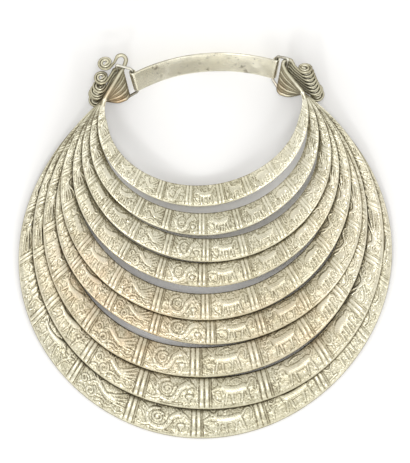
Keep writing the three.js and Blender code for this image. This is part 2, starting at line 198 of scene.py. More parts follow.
def hoop_level(row, share):
    above = len(HOOPS) - 1 - row
    step = front_step + (side_step - front_step) * smooth(0, 0.55, share)
    lift = lip_lift * (1 - smooth(0.6, 1, share)) if above > 0 else 0
    return above * step + lift + tip_rise * np.power(share, 2.2)


def outer_edge(row, share):
    """Points and headings of the right half's outer edge, and its length."""
    depth, _, front, side, turn, _ = HOOPS[row]
    depth = depth * BIB_DEPTH
    tip = np.array([TIP_HALF_SPAN, TIP_FORWARD])
    heading = np.array([math.cos(math.radians(turn)), math.sin(math.radians(turn))])
    p = [np.array([0, -depth]), np.array([front * depth, -depth]), tip - heading * side * depth, tip]
    t = np.linspace(0, 1, 2001)[:, None]
    points = ((1 - t) ** 3 * p[0] + 3 * (1 - t) ** 2 * t * p[1]
              + 3 * (1 - t) * t * t * p[2] + t ** 3 * p[3])
    ways = (3 * (1 - t) ** 2 * (p[1] - p[0]) + 6 * (1 - t) * t * (p[2] - p[1])
            + 3 * t * t * (p[3] - p[2]))
    ways /= np.linalg.norm(ways, axis=1)[:, None]
    run = np.concatenate([[0], np.cumsum(np.linalg.norm(np.diff(points, axis=0), axis=1))])
    at = np.abs(share) * run[-1]
    edge = np.stack([np.interp(at, run, points[:, k]) for k in (0, 1)], -1)
    way = np.stack([np.interp(at, run, ways[:, k]) for k in (0, 1)], -1)
    return edge, way, run[-1]


def bank_share(row, share):
    sides = (1 + smooth(0, 0.4, share)) * (1 - smooth(0.75, 1, share))
    return sides if row < len(HOOPS) - 1 else sides * smooth(0.5, 0.75, share)


def stations(row, t):
    """The sheet's sizes and directions at signed shares t of the half length."""
    share = np.abs(t)
    side = np.where(t < 0, -1.0, 1.0)
    edge, way, length = outer_edge(row, share)
    forged = smooth(FORGED_FROM, 1, share)
    front_width = HOOPS[row][1] * HOOP_WIDTH
    swing = HOOPS[row][5]
    width = front_width * (1 - TAPER * share ** TAPER_POWER) * (1 - forged) + 1.25 * WIRE * forged
    flat = np.zeros_like(share)
    return {
        "width": width,
        "edge": np.stack([side * edge[:, 0] - swing * edge[:, 1], edge[:, 1],
                          hoop_level(row, share)], -1),
        "inward": np.stack([-side * way[:, 1], way[:, 0], flat], -1),
        "ahead": np.stack([side * way[:, 0], way[:, 1], flat], -1),
        "sheet": SHEET * (1 - forged) + 0.9 * WIRE * forged,
        "dome": DOME * width / HOOP_WIDTH * (1 - 0.3 * smooth(0.1, 0.5, share)) * (1 - forged),
        "bank": bank * bank_share(row, share),
        "length": length,
    }


# Figures: strokes in shares of the panel's length and width, from its left outer corner.
# s: a rounded stroke through points, from one radius to another. d: a dot. p: a pit.
def curl(x, y, radius, turns, start=0.0, stretch=1.0, way=1):
    k = np.linspace(0, 1, int(10 * turns) + 3)
    angle = start + way * 2 * np.pi * turns * k
    r = radius * (1 - 0.78 * k)
    return [(x + stretch * a, y + b) for a, b in zip(r * np.cos(angle), r * np.sin(angle))]


def ring(x, y, rx, ry, steps=16):
    return [(x + rx * math.cos(a), y + ry * math.sin(a)) for a in np.linspace(0, 2 * np.pi, steps)]


def legs(places, top, foot, radius=0.045):
    return [("s", [(x, top), (x - lean * 0.4, (top + foot) / 2), (x - lean, foot)], radius, radius * 0.6, 0.7)
            for x, lean in places]


FIGURES = {
    "fish": [
        ("s", [(.40, .86), (.28, .80), (.20, .58), (.23, .32), (.36, .17), (.50, .18), (.59, .36), (.65, .60),
               (.76, .76)], .045, .095, .95),
        ("s", curl(.40, .53, .20, 1.5, 0.8, .62), .04, .035, .7),
        ("d", (.40, .53), .045, .7),
        ("s", [(.24, .20), (.14, .13), (.05, .16)], .05, .02, .6),
        ("d", (.80, .76), .115, .95),
        ("s", [(.85, .77), (.90, .73), (.95, .64)], .055, .02, .8),
        ("s", [(.78, .86), (.72, .95)], .03, .02, .6), ("s", [(.82, .87), (.80, .97)], .03, .02, .6),
        ("d", (.795, .36), .062, .85), ("d", (.865, .36), .062, .85),
        ("s", [(.83, .34), (.83, .26), (.83, .15)], .085, .015, .85),
        ("s", [(.04, .90), (.12, .82), (.20, .70)], .02, .05, .6),
        ("s", [(.03, .66), (.09, .60), (.15, .46)], .02, .045, .6),
        ("s", [(.30, .06), (.50, .045), (.70, .08)], .02, .02, .45),
        ("p", (.81, .78), .035, .5),
    ] + [("p", spot, .028, .5) for spot in ((.21, .62), (.22, .42), (.30, .25), (.43, .17), (.57, .34), (.62, .52))],
    "bird": [
        ("s", [(.40, .68), (.50, .56), (.60, .46), (.68, .42)], .10, .07, .95),
        ("d", (.38, .72), .10, .95), ("s", [(.33, .68), (.27, .63), (.24, .56)], .045, .015, .8),
        ("s", [(.40, .80), (.46, .96)], .035, .02, .7), ("s", [(.37, .81), (.37, .97)], .035, .02, .7),
        ("s", [(.34, .80), (.28, .95)], .035, .02, .7), ("s", [(.31, .77), (.20, .88)], .035, .02, .7),
        ("s", [(.58, .50), (.76, .66), (.96, .90)], .05, .025, .8),
        ("s", [(.62, .47), (.80, .56), (.98, .72)], .05, .025, .8),
        ("s", [(.65, .44), (.82, .47), (.98, .55)], .045, .025, .8),
        ("s", [(.66, .40), (.82, .37), (.97, .38)], .045, .02, .75),
        ("s", curl(.30, .27, .21, 1.5, 1.2, .5, -1), .045, .03, .75),
        ("s", curl(.11, .50, .17, 1.2, 0.3, .5), .04, .025, .65),
        ("s", [(.44, .10), (.54, .19), (.64, .10), (.75, .19), (.86, .10), (.96, .18)], .04, .03, .65),
        ("s", [(.42, .26), (.54, .31), (.66, .24), (.80, .28)], .035, .02, .6),
        ("s", [(.05, .12), (.14, .20), (.22, .10)], .035, .02, .6),
        ("p", (.365, .735), .03, .5),
    ],
    "deer": [
        ("s", [(.10, .60), (.28, .55), (.46, .60), (.60, .70)], .06, .13, .95),
        ("s", [(.14, .62), (.09, .76), (.03, .90)], .05, .02, .7),
        ("s", [(.14, .56), (.08, .48), (.03, .36)], .045, .02, .7),
        ("d", (.65, .78), .095, .95), ("s", [(.69, .74), (.74, .68)], .05, .03, .8),
        ("s", [(.64, .86), (.60, .97)], .028, .018, .6), ("s", [(.68, .86), (.71, .97)], .028, .018, .6),
        *legs([(.24, .05), (.31, -.02), (.48, .03), (.55, -.04)], .46, .10),
        ("s", [(.76, .05), (.79, .30), (.86, .55), (.85, .80)], .035, .03, .7),
        ("s", [(.79, .30), (.70, .44)], .055, .015, .6), ("s", [(.82, .42), (.93, .46)], .055, .015, .6),
        ("s", [(.86, .58), (.96, .70)], .055, .015, .6), ("s", [(.85, .62), (.76, .60)], .05, .015, .6),
        ("d", (.86, .86), .075, .75), ("p", (.86, .86), .03, .4),
        ("s", [(.05, .10), (.13, .20), (.20, .10)], .04, .02, .6),
        ("p", (.66, .80), .03, .5),
    ],
    "tiger": [
        ("d", (.17, .64), .14, .95), ("s", [(.11, .60), (.04, .50)], .06, .03, .8),
        ("s", [(.12, .76), (.08, .92)], .04, .02, .7), ("s", [(.22, .77), (.26, .92)], .04, .02, .7),
        ("s", [(.34, .66), (.34, .46)], .115, .10, .9), ("s", [(.48, .66), (.48, .46)], .115, .11, .9),
        ("s", [(.62, .65), (.62, .46)], .115, .11, .9), ("s", [(.75, .63), (.75, .45)], .11, .10, .9),
        *legs([(.30, .03), (.42, -.02), (.64, .03), (.77, -.04)], .36, .08, .05),
        ("s", [(.82, .62), (.92, .72), (.94, .86), (.86, .95)], .045, .02, .7),
        ("p", (.14, .68), .035, .5), ("p", (.21, .66), .03, .5), ("p", (.17, .56), .03, .5),
        ("p", (.34, .60), .025, .4), ("p", (.48, .60), .025, .4), ("p", (.62, .60), .025, .4),
        ("s", [(.88, .10), (.92, .28), (.86, .42)], .04, .02, .6),
    ],
    "peacock": [
        ("d", (.15, .74), .10, .95), ("s", [(.10, .74), (.03, .68)], .04, .015, .8),
        ("s", [(.15, .84), (.09, .96)], .03, .02, .6), ("s", [(.17, .84), (.18, .97)], .03, .02, .6),
        ("s", [(.18, .66), (.22, .50), (.32, .40)], .07, .10, .9), ("d", (.36, .40), .13, .95),
        ("s", [(.40, .46), (.58, .66), (.76, .80), (.95, .86)], .05, .035, .8),
        ("s", [(.44, .42), (.62, .54), (.80, .62), (.97, .64)], .05, .035, .8),
        ("s", [(.44, .36), (.64, .40), (.82, .42), (.97, .42)], .05, .035, .8),
        ("s", [(.42, .30), (.62, .26), (.80, .24), (.95, .22)], .045, .03, .75),
        ("d", (.94, .86), .055, .85), ("d", (.95, .64), .055, .85), ("d", (.95, .42), .055, .85),
        *legs([(.30, .02), (.38, -.02)], .28, .07, .035),
        ("s", curl(.12, .30, .15, 1.1, 0.6, .5), .035, .02, .6),
        ("p", (.15, .76), .03, .5),
    ],
    "fox": [
        ("d", (.22, .68), .125, .95), ("s", [(.15, .66), (.08, .60), (.02, .56)], .065, .03, .85),
        ("s", [(.18, .79), (.12, .95)], .045, .015, .75), ("s", [(.27, .79), (.31, .95)], .045, .015, .75),
        ("s", [(.32, .58), (.50, .53), (.70, .58)], .12, .12, .95),
        *legs([(.33, .05), (.43, -.02), (.65, .04), (.75, -.05)], .44, .10, .05),
        ("s", [(.78, .64), (.88, .84), (.96, .72), (.93, .46)], .045, .035, .75),
        ("s", [(.05, .36), (.10, .22), (.20, .14)], .04, .02, .6),
        ("s", [(.44, .86), (.56, .92), (.66, .84)], .035, .02, .55),
        ("p", (.20, .71), .035, .5),
    ],
    "horse": [
        ("s", [(.10, .10), (.12, .34), (.08, .60), (.12, .88)], .035, .03, .7),
        ("s", curl(.16, .74, .13, 1.1, 3.4, .5), .035, .02, .65),
        ("s", [(.11, .40), (.20, .48)], .05, .015, .6), ("s", [(.11, .30), (.03, .42)], .05, .015, .6),
        ("s", [(.40, .60), (.60, .57), (.80, .61)], .13, .13, .95),
        ("s", [(.38, .64), (.33, .78)], .08, .06, .9), ("d", (.30, .84), .085, .95),
        ("s", [(.27, .82), (.21, .76)], .05, .03, .8), ("s", [(.31, .91), (.35, .98)], .03, .015, .6),
        *legs([(.40, .04), (.48, -.02), (.74, .03), (.84, -.03)], .46, .08, .05),
        ("s", [(.88, .64), (.95, .78), (.92, .94)], .04, .02, .7),
        ("s", [(.46, .86), (.60, .92), (.74, .86)], .035, .02, .55),
    ],
    "elephant": [
        ("s", [(.07, .90), (.05, .60), (.14, .44), (.24, .60), (.23, .90)], .04, .035, .75),
        ("s", [(.14, .92), (.14, .58)], .03, .03, .6), ("s", [(.14, .42), (.14, .14)], .035, .035, .6),
        ("s", [(.05, .12), (.23, .12)], .035, .035, .6),
        ("s", [(.48, .60), (.60, .66), (.74, .62)], .16, .16, 1.0), ("d", (.87, .66), .125, 1.0),
        ("s", [(.92, .60), (.97, .44), (.93, .26), (.96, .18)], .055, .025, .8),
        *legs([(.45, .01), (.56, -.01), (.68, .01), (.78, -.01)], .48, .10, .06),
        ("s", [(.36, .62), (.33, .44)], .03, .015, .6),
        ("p", (.88, .70), .035, .5), ("p", (.80, .66), .03, .4),
    ],
    "swallow": [
        ("s", [(.04, .88), (.18, .74), (.34, .70), (.50, .60)], .025, .07, .8),
        ("s", [(.30, .74), (.22, .86), (.12, .96)], .055, .02, .75),
        ("d", (.54, .60), .115, .95),
        ("s", [(.56, .68), (.66, .88), (.80, .92), (.90, .78), (.86, .60)], .05, .03, .8),
        ("s", [(.52, .50), (.57, .30), (.72, .20), (.87, .32), (.93, .48)], .055, .025, .8),
        ("s", [(.42, .52), (.30, .32), (.16, .24), (.05, .30)], .05, .02, .75),
        ("s", curl(.34, .16, .11, 1.1, 0.4, .6), .03, .02, .55),
        ("s", curl(.74, .62, .12, 1.1, 2.4, .6), .035, .02, .6),
        ("p", (.55, .63), .035, .5),
    ],
    "scroll": [
        ("s", curl(.28, .56, .30, 1.6, 3.3, .55, -1), .06, .03, .8),
        ("s", curl(.72, .46, .30, 1.6, 0.2, .55, -1), .06, .03, .8),
        ("s", [(.44, .16), (.50, .50), (.56, .86)], .05, .04, .75),
        ("s", [(.06, .14), (.16, .20), (.30, .12)], .045, .02, .6),
        ("s", [(.94, .88), (.84, .80), (.72, .88)], .045, .02, .6),
        *[("p", spot, .042, .8) for spot in ((.28, .56), (.72, .46), (.10, .80), (.16, .46), (.88, .18),
                                             (.86, .56), (.40, .84), (.62, .16))],
    ],
    "rosette": [
        ("d", (.50, .50), .13, .95), ("p", (.50, .50), .05, .5),
        *[("s", [(.50 + .11 * math.cos(a), .50 + .20 * math.sin(a)),
                 (.50 + .22 * math.cos(a), .50 + .38 * math.sin(a))], .06, .05, .8)
          for a in np.arange(0, 6.2, 1.047)],
        ("s", curl(.13, .50, .22, 1.2, 1.6, .5), .04, .025, .65),
        ("s", curl(.87, .50, .22, 1.2, 4.7, .5), .04, .025, .65),
        *[("p", (.50 + .20 * math.cos(a), .50 + .36 * math.sin(a)), .042, .8)
          for a in np.arange(0.52, 6.6, 1.047)],
        ("p", (.13, .50), .042, .8), ("p", (.87, .50), .042, .8),
    ],
}


def spline(points, steps=4):
    """A smooth run of points through the given ones."""
    p = np.asarray(points, float)
    if len(p) < 3:
        return p
    ends = np.vstack([2 * p[0] - p[1], p, 2 * p[-1] - p[-2]])
    out = []
    for i in range(1, len(ends) - 2):
        a, b, c, d = ends[i - 1:i + 3]
        for k in np.arange(steps) / steps:
            out.append(0.5 * (2 * b + (c - a) * k + (2 * a - 5 * b + 4 * c - d) * k * k
                              + (3 * b - 3 * c + d - a) * k ** 3))
    out.append(p[-1])
    return np.array(out)


def draw_figure(name, x, y, long, wide, mirrored):
    """Height and dark outline of one figure at points x, y in millimetres from the panel's left outer corner."""
    height = np.zeros_like(x)
    pits = np.zeros_like(x)
    halo = np.zeros_like(x)
    for kind, *rest in FIGURES[name]:
        if kind == "s":
            points, r0, r1, rise = rest
            line = spline(points)
        else:
            (px, py), r0, rise = rest
            line, r1 = np.array([(px, py)]), r0
        line = line.copy()
        if mirrored:
            line[:, 0] = 1 - line[:, 0]
        line = line * (long, wide)
        radii = np.linspace(r0, r1, len(line)) * wide * (1 if kind == "p" else STROKE)
        reach = radii.max() + OUTLINE
        near = ((x > line[:, 0].min() - reach) & (x < line[:, 0].max() + reach)
                & (y > line[:, 1].min() - reach) & (y < line[:, 1].max() + reach))
        if not near.any():
            continue
        px, py = x[near], y[near]
        best = np.zeros_like(px)
        dark = np.zeros_like(px)
        pairs = zip(line[:-1], line[1:], radii[:-1], radii[1:]) if len(line) > 1 else [
            (line[0], line[0], radii[0], radii[0])]
        for a, b, ra, rb in pairs:
            ab = b - a
            k = np.clip(((px - a[0]) * ab[0] + (py - a[1]) * ab[1]) / (ab @ ab + 1e-9), 0, 1)
            d = np.sqrt((px - a[0] - ab[0] * k) ** 2 + (py - a[1] - ab[1] * k) ** 2)
            r = ra + (rb - ra) * k
            best = np.maximum(best, 1 - (d / r) ** 2)
            dark = np.maximum(dark, 1 - np.clip((d - r) / OUTLINE, 0, 1))
        swell = np.power(np.clip(best, 0, 1), 0.45) * rise
        if kind == "p":
            pits[near] = np.maximum(pits[near], swell)
        else:
            height[near] = np.maximum(height[near], swell)
            halo[near] = np.maximum(halo[near], dark)
    return height * (1 - pits), np.maximum(halo * (height < 0.15), pits)


def grain(x, y, pitch, seed):
    """Even noise from -1 to 1 with features of one pitch."""
    values = np.random.default_rng(seed).uniform(-1, 1, (64, 64))
    gx, gy = x / pitch, y / pitch
    ix, iy = np.floor(gx).astype(int), np.floor(gy).astype(int)
    fx, fy = gx - ix, gy - iy
    fx, fy = fx * fx * (3 - 2 * fx), fy * fy * (3 - 2 * fy)
    v = values
    return ((v[ix % 64, iy % 64] * (1 - fx) + v[(ix + 1) % 64, iy % 64] * fx) * (1 - fy)
            + (v[ix % 64, (iy + 1) % 64] * (1 - fx) + v[(ix + 1) % 64, (iy + 1) % 64] * fx) * fy)


def relief(row, along, across, width):
    """Height in millimetres, and polish with painted light and shade from 0 to 1, over a hoop's face."""
    spread = along * (1 - FAN * (1 - across))
    wide = width[:, None] * np.ones_like(across)
    up = (1 - across) * wide
    front_width = HOOPS[row][1] * HOOP_WIDTH
    line_pitch = LINE_PITCH * front_width
    height = np.zeros_like(across)
    polish_and_shading = np.zeros_like(across)
    dark = np.zeros_like(across)
    bands = list(DIVIDERS[row])
    longest = np.abs(along).max()
    while bands[-1] < 0.88 * longest:
        bands.append(bands[-1] + END_PANEL)
    while bands[0] > -0.88 * longest:
        bands.insert(0, bands[0] - END_PANEL)
    centre = max(i for i, u in enumerate(bands) if u < 0)
    local = wide[:, 0] / front_width
    squeeze = np.interp(spread, along[:, 0], 0.35 + 0.65 * local)
    for u in bands:
        for place, half in RIDGES:
            off = np.abs(spread - u - place * line_pitch * squeeze) / (half * line_pitch * squeeze)
            ridge = np.power(np.clip(1 - off ** 4, 0, 1), 0.5)
            height = np.maximum(height, ridge * BAND_RISE / FIGURE_RISE)
            polish_and_shading = np.maximum(polish_and_shading, 0.62 * ridge)
            groove = 0.3 / half
            dark = np.maximum(dark, 0.75 - 0.75 * np.clip(np.abs(off - 1 - 0.3 * groove) / groove, 0, 1))
    for i in range(len(bands) - 1):
        names = LEFT_FIGURES if i < centre else RIGHT_FIGURES
        order = centre - 1 - i if i < centre else i - centre
        name = names[order % len(names)]
        mid = np.interp((bands[i] + bands[i + 1]) / 2, along[:, 0], 0.35 + 0.65 * local)
        gap = 1.7 * line_pitch * mid
        start, end = bands[i] + gap, bands[i + 1] - gap
        inside = (spread > start) & (spread < end) & (across > 0.02) & (across < 0.955)
        if not inside.any() or end - start < 4:
            continue
        x = spread[inside] - start
        figure_wide = wide[inside]
        y = (up[inside] - 0.06 * figure_wide) / (0.91 * figure_wide)
        face = float(np.median(figure_wide)) * 0.91
        drawn, halo = draw_figure(name, x, y * face, end - start, face, False)
        cuts = np.sin((x * 0.8 + y * face * 0.6) * 2 * np.pi / 1.7)
        drawn = drawn * (1 - 0.16 * (drawn > 0.8) * np.clip(cuts, 0, 1))
        height[inside] = np.maximum(height[inside], drawn)
        polish_and_shading[inside] = np.maximum(polish_and_shading[inside], 
                                    (0.28 + 0.46 * drawn) * (drawn > 0.05) - 0.2 * np.clip(cuts, 0, 1))
        dark[inside] = np.maximum(dark[inside], halo)
    ends = 1 - smooth(0.90, 0.97, np.abs(along) / longest)
    rim = np.exp(-((across - 0.955) / 0.03) ** 2) + 0.8 * np.exp(-((across - 0.035) / 0.02) ** 2)
    lip = smooth(0.93, 0.965, across)
    ground = (1 - np.clip(height * 3, 0, 1)) * (1 - lip) * ends
    worms = np.sin(11 * grain(spread, up, 2.2, 11 + row) + 2 * grain(spread, up, 1.3, 31 + row))
    speckle = grain(spread, up, 0.9, 71 + row)
    wear = 0.88 + 0.3 * grain(spread, up, 22, 51 + row)
    rise = FIGURE_RISE * wide / HOOP_WIDTH * (0.3 + 0.7 * smooth(0, 0.22, across))
    total = (height * ends * rise * wear + ground * (0.12 * worms + 0.08 * speckle) - 0.2 * dark * ends
             + 0.16 * np.clip(rim, 0, 1) * ends)
    edge_fade = smooth(0, 0.03, across) * (1 - smooth(0.975, 1, across))
    floor_tone = 0.49 + 0.17 * worms + 0.16 * speckle
    polish_and_shading = np.where(polish_and_shading > floor_tone, polish_and_shading, floor_tone) * ends + 0.74 * (1 - ends)
    polish_and_shading = polish_and_shading * (1 - lip) + lip * 0.62
    polish_and_shading = polish_and_shading - 0.72 * dark * ends * (1 - lip) + 0.08 * speckle
    # Painted shade: darker on the turned-down outer rim, and along the inner edge under the lip of the hoop above.
    polish_and_shading = polish_and_shading - 0.7 * smooth(0.975, 1, across) - 0.5 * (1 - smooth(0, 0.04, across))
    share = np.abs(along) / longest
    # Painted light on the hoops' sides, a little more on the right; the contrast is lower towards the right.
    sharp = 1.2 - 0.25 * smooth(-60, 80, along)
    painted_side_light = 0.15 + 0.06 * smooth(-60, 80, along)
    polish_and_shading = 0.5 + (polish_and_shading - 0.5) * sharp + painted_side_light * smooth(0.15, 0.55, share) + HOOP_TONES[row]
    return total * edge_fade, np.clip(polish_and_shading, 0, 1)


def ring_faces(count, size, closed):
    """Quads between rings of as many corners, as an array."""
    spans = count if closed else count - 1
    i = np.arange(spans)[:, None]
    j = np.arange(size)[None, :]
    a = i * size + j
    b = i * size + (j + 1) % size
    c = ((i + 1) % count) * size + (j + 1) % size
    d = ((i + 1) % count) * size + j
    return np.stack([a, b, c, d], -1).reshape(-1, 4)


# Places where the metal is toned copper: x, y, radius in millimetres, strength
WARM_PLACES = [(-88, -52, 30, 0.42), (-58, -88, 26, 0.4), (-112, -20, 26, 0.4), (-30, -62, 30, 0.24),
               (40, -70, 34, 0.32), (88, -78, 24, 0.42), (-72, 131, 7, 1.0), (-78, 138, 6, 0.8),
               (70, 137, 6, 0.7), (125, 15, 45, 0.25), (-125, 20, 45, 0.13)]


def warmth(points):
    amount = np.zeros(len(points))
    for x, y, radius, strength in WARM_PLACES:
        amount += strength * np.exp(-((points[:, 0] - x) ** 2 + (points[:, 1] - y) ** 2) / (2 * radius ** 2))
    return np.clip(amount, 0, 1) * (0.75 + 0.35 * grain(points[:, 0] + 400, points[:, 1] + 400, 7, 91))


def build_mesh(name, shells, material, node):
    """One piece from shells of (rings, closed, tone), replacing its CAD node."""
    points, quads, caps, tones, offset = [], [], [], [], 0
    for rings, closed, tone in shells:
        count, size = rings.shape[:2]
        points.append(rings.reshape(-1, 3))
        tones.append(np.broadcast_to(tone, (count, size)).reshape(-1))
        quads.append(ring_faces(count, size, closed) + offset)
        if not closed:
            caps.append(list(range(offset + size - 1, offset - 1, -1)))
            caps.append([offset + (count - 1) * size + k for k in range(size)])
        offset += count * size
    points = (np.concatenate(points) + SHIFT) / 1000
    quads = np.concatenate(quads)
    mesh = bpy.data.meshes.new(name)
    faces = quads.tolist() + caps
    mesh.from_pydata(points.tolist(), [], faces)
    mesh.update()
    layer = mesh.attributes.new("tone", "FLOAT", "POINT")
    layer.data.foreach_set("value", np.concatenate(tones).astype(np.float32))
    layer = mesh.attributes.new("warm", "FLOAT", "POINT")
    layer.data.foreach_set("value", warmth(points * 1000).astype(np.float32))
    mesh.polygons.foreach_set("use_smooth", np.ones(len(faces), bool))
    mesh.materials.append(material)
    piece = bpy.data.objects.new(name, mesh)
    bpy.context.collection.objects.link(piece)
    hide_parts(node)
    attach(piece, "root")
    return piece


def turned_out(rings, closed):
    """The rings, in the order that makes their faces point outward."""
    size = rings.shape[1]
    quads = ring_faces(len(rings), size, closed)
    p = rings.reshape(-1, 3)
    a, b, c, d = (p[quads[:, k]] for k in range(4))
    volume = (np.einsum("ij,ij->i", a, np.cross(b, c)) + np.einsum("ij,ij->i", a, np.cross(c, d))).sum()
    if not closed:
        for ring_at, sign in ((rings[0], -1), (rings[-1], 1)):
            for k in range(1, size - 1):
                volume += sign * np.dot(ring_at[0], np.cross(ring_at[k], ring_at[k + 1]))
    return rings if volume > 0 else rings[:, ::-1]


def wire(points, radii, corners, closed=False, flat=1.0):
    """Rings of a round wire through points, with the same twist all along."""
    p = np.asarray(points, float)
    count = len(p)
    if closed:
        ways = np.roll(p, -1, 0) - np.roll(p, 1, 0)
    else:
        ways = np.gradient(p, axis=0)
    ways /= np.linalg.norm(ways, axis=1)[:, None]
    normal = np.array([0, 0, 1.0])
    angles = np.arange(corners) * 2 * np.pi / corners
    flat = np.broadcast_to(flat, (count,))
    rings = np.zeros((count, corners, 3))
    for i in range(count):
        normal = unit(normal - ways[i] * np.dot(normal, ways[i]))
        side = np.cross(ways[i], normal)
        rings[i] = p[i] + radii[i] * (np.cos(angles)[:, None] * normal * flat[i] + np.sin(angles)[:, None] * side)
    return rings


def wire_shading(rings, points, base=0.0, gain=0.95):
    """Painted light on the side that faces up and painted shade beneath, with a little random tone."""
    out = rings - np.asarray(points)[:, None, :]
    out /= np.linalg.norm(out, axis=2)[:, :, None] + 1e-9
    tone = base + gain * np.clip(out[:, :, 2], 0, 1) ** 1.6
    return np.clip(tone + rng.uniform(-0.05, 0.05, tone.shape), 0, 1)


def tip_wire(row, side):
    """Out of the sheet, round the bar in an eye, back, and into the spiral button."""
    end = stations(row, np.array([float(side)]))
    end = {k: v[0] if np.ndim(v) else v for k, v in end.items()}
    up = np.array([0, 0, 1.0])
    tip = end["edge"] + end["inward"] * end["width"] / 2 + up * end["sheet"] / 2
    place = eye_place(side, row)
    slope = math.tan(EYE_TILT)

    def on_eye_level(p):
        return np.array([p[0], p[1], place[2] - slope * (p[1] - place[1])])

    to_bar = unit(np.array([place[0] - tip[0], place[1] - tip[1], 0]))
    neck_ward = np.array([-side * to_bar[1], side * to_bar[0], 0])
    eye_radius = BAR_WIRE / 2 + EYE_PLAY + WIRE / 2
    slid = SLACK_EYE if row == 0 and side < 0 else 1.8 * CLEARANCE - EYE_PLAY
    middle = place + to_bar * slid
    start = tip - end["ahead"] * 2.4 * WIRE
    leave = tip + end["ahead"] * 0.2 * WIRE
    leg = on_eye_level(middle + neck_ward * eye_radius - to_bar * 1.3 * eye_radius)
    way = leg - leave
    points = [start, leave, leave + way * 0.5 - up * 0.1 * way[2], leg]
    for angle in np.linspace(0, np.pi, 9):
        points.append(on_eye_level(middle + neck_ward * eye_radius * math.cos(angle)
                                   + to_bar * eye_radius * math.sin(angle)))
    back = on_eye_level(middle - neck_ward * 1.05 * eye_radius - to_bar * 0.9 * eye_radius)
    points.append(back)

    out, fore_place, drop, tilt = BUTTONS[side][row]
    tilt = math.radians(tilt)
    centre = on_eye_level(np.array([place[0] + side * out * BUTTON_ACROSS,
                                    place[1] + fore_place * BUTTON_ACROSS, 0]))
    centre = centre - up * drop * BUTTON_ACROSS
    across = np.array([1.0, 0, 0])
    fore = np.array([0, math.cos(tilt), -math.sin(tilt)])
    rise_way = np.array([0, math.sin(tilt), math.cos(tilt)])
    rim = (BUTTON_ACROSS - BUTTON_WIRE) / 2
    pitch = BUTTON_WIRE + COIL_GAP
    off = back - centre
    bearing = math.atan2(off @ fore, off @ across)
    reach = math.hypot(off @ fore, off @ across)
    entry = bearing + side * math.acos(min(1, rim / reach))
    turns = (rim - 0.15 * BUTTON_WIRE) / pitch
    lead = spline(points, 5)
    wound = np.linspace(0, 1, int(turns * 36))
    turn = turns * wound
    radius = rim - pitch * (np.floor(turn) + smooth(0.72, 1, turn % 1))
    angle = entry + side * 2 * np.pi * turns * wound
    coil = (centre + np.outer(radius * np.cos(angle), across) + np.outer(radius * np.sin(angle), fore)
            + np.outer(BUTTON_RISE * wound * wound, rise_way))
    path = np.vstack([lead, coil])
    strip = 1 - smooth(len(lead) - 12, len(lead) - 2, np.arange(len(path)))
    gauge = np.where(strip > 0, WIRE / 2 + STRIP_WIDER * strip, pitch / 2 * 1.03)
    flat = 1 - (1 - STRIP_FLAT) * strip
    gauge[-1] *= 0.5
    rings = turned_out(wire(path, gauge, 12, False, flat), False)
    coil_tone = np.concatenate([np.full(len(lead), 0.5), 0.5 + 0.7 * wound])
    # Painted light on the wire's top and painted shade beneath
    shine = np.clip(1.4 * wire_shading(rings, path) ** 2, 0, 1)
    tone = shine * (STRIP_TONES[row] * strip + coil_tone * (1 - strip))[:, None]
    return rings, False, tone


TOP_ACROSS = np.array([0, 0.28, 0.6, 0.86, 1.0])
TOP_RISE = np.array([0, 0.7, 1.0, 0.78, 0.12])


def dome_line(across):
    """The dome's rise as a smooth line through the section's corners."""
    k = np.array([3.2, 1.7, 0.15, -2.6, -6.0])
    i = np.clip(np.searchsorted(TOP_ACROSS, across, side="right") - 1, 0, 3)
    x0, x1 = TOP_ACROSS[i], TOP_ACROSS[i + 1]
    h = x1 - x0
    t = (across - x0) / h
    return ((2 * t ** 3 - 3 * t * t + 1) * TOP_RISE[i] + (t ** 3 - 2 * t * t + t) * h * k[i]
            + (3 * t * t - 2 * t ** 3) * TOP_RISE[i + 1] + (t ** 3 - t * t) * h * k[i + 1])


def lip_shade(row, points):
    """Painted shadow of the lip of the hoop above, with the dark toning beneath it, from 0 to 1."""
    if row == 0:
        return np.zeros(len(points))
    at = stations(row - 1, np.linspace(-1, 1, 1600))
    tree = KDTree(len(at["edge"]))
    for i, (x, y, _) in enumerate(at["edge"].tolist()):
        tree.insert((x, y, 0), i)
    tree.balance()
    found = np.array([tree.find((x, y, 0))[1] for x, y in points[:, :2].tolist()])
    off = points - at["edge"][found]
    outside = -np.einsum("ij,ij->i", off[:, :2], at["inward"][found][:, :2])
    return np.where(outside < 0, 1.0, np.exp(-(outside / LIP_SHADE) ** 2))


